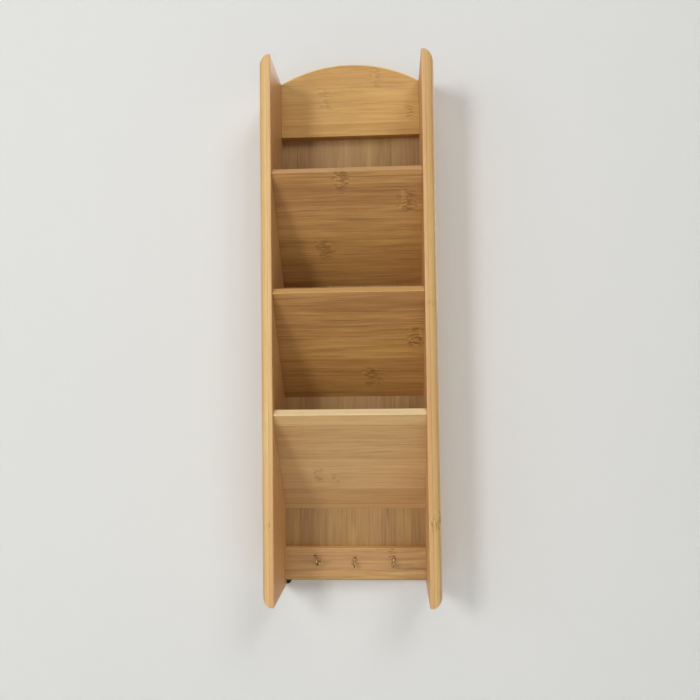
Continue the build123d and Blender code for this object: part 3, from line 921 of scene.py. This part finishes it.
# Knuckles: along and across the board, half length, half width and strength
top_knuckles = [
    (-0.006, 0.015, 0.007, 0.011, 1.0), (0.053, 0.036, 0.008, 0.011, 0.9),
    (-0.024, 0.083, 0.009, 0.010, 0.8),
]
middle_knuckles = [(0.059, 0.056, 0.008, 0.012, 1.0), (0.018, 0.099, 0.009, 0.010, 0.85)]
bottom_knuckles = [(-0.031, 0.078, 0.004, 0.009, 0.6), (-0.016, 0.084, 0.003, 0.006, 0.5)]
brown_looks = {
    "Strip_Width": 0.0195, "Pale": linear(202, 154, 88), "Deep": linear(150, 102, 46),
    "Blush": linear(186, 132, 78),
    "Tone": 0.4, "Streak": 0.9, "Lines": 0.46, "Blush_Amount": 0.25, "Seam": 0.3,
}
pale_looks = {
    "Strip_Width": 0.0193, "Pale": linear(214, 176, 120), "Deep": linear(182, 140, 86),
    "Blush": linear(200, 152, 104),
    "Tone": 0.8, "Streak": 0.65, "Lines": 0.28, "Blush_Amount": 0.2, "Seam": 0.6,
}
# The fourth entry of each front is its lip's tint: a painted highlight on the upper edge for light from
# above, palest on the bottom front.
fronts = (
    ("pocket_front_top", 11.0, top_knuckles, (212, 166, 112), brown_looks),
    ("pocket_front_middle", 19.0, middle_knuckles, (222, 176, 114), brown_looks),
    ("pocket_front_bottom", 30.0, bottom_knuckles, (255, 232, 182), pale_looks),
)
for node, seed, knuckle_and_shade_marks, lip_highlight_tint, looks in fronts:
    lip_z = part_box(node)[0].z + FRONT_DROP
    title = f"Bamboo {node.replace('_', ' ')}"
    origin = (0.0, LIP_Y - SLOPE[0] * LIP_MARGIN, lip_z - SLOPE[1] * LIP_MARGIN)
    wood = painted_highlight_edge_material(
        title, LEAN_TURN, origin, seed, knuckle_and_shade_marks, LIP_MARGIN, linear(*lip_highlight_tint), **looks
    )
    add_piece(f"{node}_shaped", pocket_front_shell(lip_z), wood, [node])

brass = metal_material(
    "Dull brass wire", linear(222, 200, 144), linear(130, 106, 62), 0.14, (900.0, 2600.0, 900.0)
)
for index, (name, lean) in enumerate(zip(HOOK_NAMES, HOOK_LEANS)):
    root = (HOOK_PLACES[index], rail_low.y, rail_low.z + HOOK_ROOT_HEIGHT + HOOK_LIFTS[index])
    add_piece(f"{name}_bent", hook_shell(root, lean), brass, [name], 40.0)

zinc = metal_material(
    "Bright zinc plate", linear(206, 208, 210), linear(176, 180, 184), 0.22, (260.0, 260.0, 3200.0)
)
screw_places = []
for node in ("keyhole_hanger_left", "keyhole_hanger_right"):
    low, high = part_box(node)
    screw_places += [((low.x + high.x) / 2, z) for z in (low.z + SCREW_INSET, high.z - SCREW_INSET)]
    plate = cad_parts[node]
    plate.data.materials.clear()
    plate.data.materials.append(zinc)
add_piece(
    "hanger_screws_turned", joined([screw_shell(x, z) for x, z in screw_places]), zinc,
    ["hanger_screws"], 40.0,
)
add_piece(
    "back_panel_brads_turned", joined([brad_shell(x, z) for x, z in brad_places()]), zinc,
    ["back_panel_brads"], 40.0,
)

rubber = rubber_material()
for node in ("wall_bumper_left", "wall_bumper_right"):
    add_piece(f"{node}_moulded", bumper_shell(node), rubber, [node], 40.0)

pin_wood = bamboo_material(
    "Bamboo pins", NO_TURN, (0.0, 0.0, 0.0), 21.0, (),
    Strip_Width=0.05, Pale=linear(222, 186, 134), Deep=linear(196, 150, 96), Blush=linear(204, 150, 104),
    Tone=0.1, Streak=0.5, Lines=0.2, Blush_Amount=0.1, Seam=0.0,
)[0]
for node in ("header_pins", "rail_pins", "pocket_front_pins"):
    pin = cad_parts[node]
    pin.data.materials.clear()
    pin.data.materials.append(pin_wood)


# ---------------------------------------------------------------- stage

WALL_Y = 0.5 * MM
FLOOR_Z = FOOT_Z - 0.30
ROOM_HALF_WIDTH = 2.6
ROOM_HEIGHT = 2.4
ROOM_DEPTH = 3.2


def stage_plane(name, corners, colour):
    """A flat pale surface, clear from behind so that the rack's back can be seen through the wall."""
    mesh = bpy.data.meshes.new(name)
    mesh.from_pydata(corners, [], [(0, 1, 2, 3)])
    plane = bpy.data.objects.new(name, mesh)
    bpy.context.scene.collection.objects.link(plane)
    material, tree, shader = new_material(name)
    board = board_vector(tree)
    mottle = noise(tree, board, 3.0, 3.0)
    other = tuple(channel * 0.97 for channel in colour[:3]) + (1.0,)
    tree.links.new(blend_colour(tree, mottle, colour, other), shader.inputs["Base Color"])
    shader.inputs["Roughness"].default_value = 0.85
    add_bump(tree, shader, noise(tree, board, 900.0, 2.0), 0.00008, 0.5)
    clear = tree.nodes.new("ShaderNodeBsdfTransparent")
    mix = tree.nodes.new("ShaderNodeMixShader")
    geometry = tree.nodes.new("ShaderNodeNewGeometry")
    output = next(node for node in tree.nodes if node.type == "OUTPUT_MATERIAL")
    tree.links.new(geometry.outputs["Backfacing"], mix.inputs[0])
    tree.links.new(shader.outputs[0], mix.inputs[1])
    tree.links.new(clear.outputs[0], mix.inputs[2])
    tree.links.new(mix.outputs[0], output.inputs[0])
    mesh.materials.append(material)
    plane.visible_shadow = False


stage_plane(
    "pale_wall",
    [
        (-ROOM_HALF_WIDTH, WALL_Y, FLOOR_Z), (ROOM_HALF_WIDTH, WALL_Y, FLOOR_Z),
        (ROOM_HALF_WIDTH, WALL_Y, FLOOR_Z + ROOM_HEIGHT), (-ROOM_HALF_WIDTH, WALL_Y, FLOOR_Z + ROOM_HEIGHT),
    ],
    linear(226, 226, 224),
)
stage_plane(
    "pale_floor",
    [
        (-ROOM_HALF_WIDTH, WALL_Y - ROOM_DEPTH, FLOOR_Z), (ROOM_HALF_WIDTH, WALL_Y - ROOM_DEPTH, FLOOR_Z),
        (ROOM_HALF_WIDTH, WALL_Y, FLOOR_Z), (-ROOM_HALF_WIDTH, WALL_Y, FLOOR_Z),
    ],
    linear(228, 228, 224),
)


# ---------------------------------------------------------------- light and camera

MIDDLE = Vector((0.0, FRONT_EDGE_Y, (FOOT_Z + TOP_Z) / 2))
LIGHTS = (  # name, place, width, height and power
    ("left_light", (-1.02, -1.95, MIDDLE.z + 0.45), 0.4, 0.6, 12.5),
    ("window_light", (-1.5, -1.7, MIDDLE.z + 0.4), 1.6, 1.2, 9.5),
    ("right_light", (0.95, -1.75, MIDDLE.z + 1.5), 0.8, 0.8, 13.0),
    ("room_light", (0.1, -1.7, MIDDLE.z + 1.5), 1.4, 1.4, 9.5),
    ("low_light", (0.1, -1.9, MIDDLE.z - 0.28), 1.0, 1.0, 3.2),
    ("back_light", (0.9, 1.6, MIDDLE.z + 0.7), 1.4, 1.4, 24.0),
)
for name, place, width, height, power in LIGHTS:
    data = bpy.data.lights.new(name, "AREA")
    data.shape = "RECTANGLE"
    data.size = width
    data.size_y = height
    data.energy = power
    light = bpy.data.objects.new(name, data)
    light.location = place
    light.rotation_mode = "QUATERNION"
    light.rotation_quaternion = (MIDDLE - Vector(place)).to_track_quat("-Z", "Y")
    bpy.context.scene.collection.objects.link(light)

world = bpy.data.worlds.new("soft_room")
bpy.context.scene.world = world
world.use_nodes = True
background = world.node_tree.nodes["Background"]
background.inputs["Color"].default_value = (0.86, 0.88, 0.9, 1.0)
background.inputs["Strength"].default_value = 0.05
world.cycles.sampling_method = "NONE"
bpy.context.scene.view_settings.view_transform = "Standard"

# The eye stands a little right of the rack's middle line and below the middle of its height.
EYE_RIGHT, EYE_AWAY, EYE_BELOW = 37.5 * MM, 0.6231, 49.4 * MM
EYE = Vector((EYE_RIGHT, FRONT_EDGE_Y - EYE_AWAY, MIDDLE.z - EYE_BELOW))
EYE_YAW, EYE_PITCH, EYE_ROLL = 0.0582, 0.045, 0.012
LENS = 37.5
yaw = Matrix.Rotation(EYE_YAW, 3, "Z")
pitch = Matrix.Rotation(EYE_PITCH, 3, "X")
roll = Matrix.Rotation(EYE_ROLL, 3, "Y")
level = Matrix.Rotation(math.pi / 2, 3, "X")
camera_data = bpy.data.cameras.new("eye")
camera_data.lens = LENS
camera = bpy.data.objects.new("eye", camera_data)
camera.matrix_world = Matrix.Translation(EYE) @ (yaw @ pitch @ roll @ level).to_4x4()
bpy.context.scene.collection.objects.link(camera)
bpy.context.scene.camera = camera
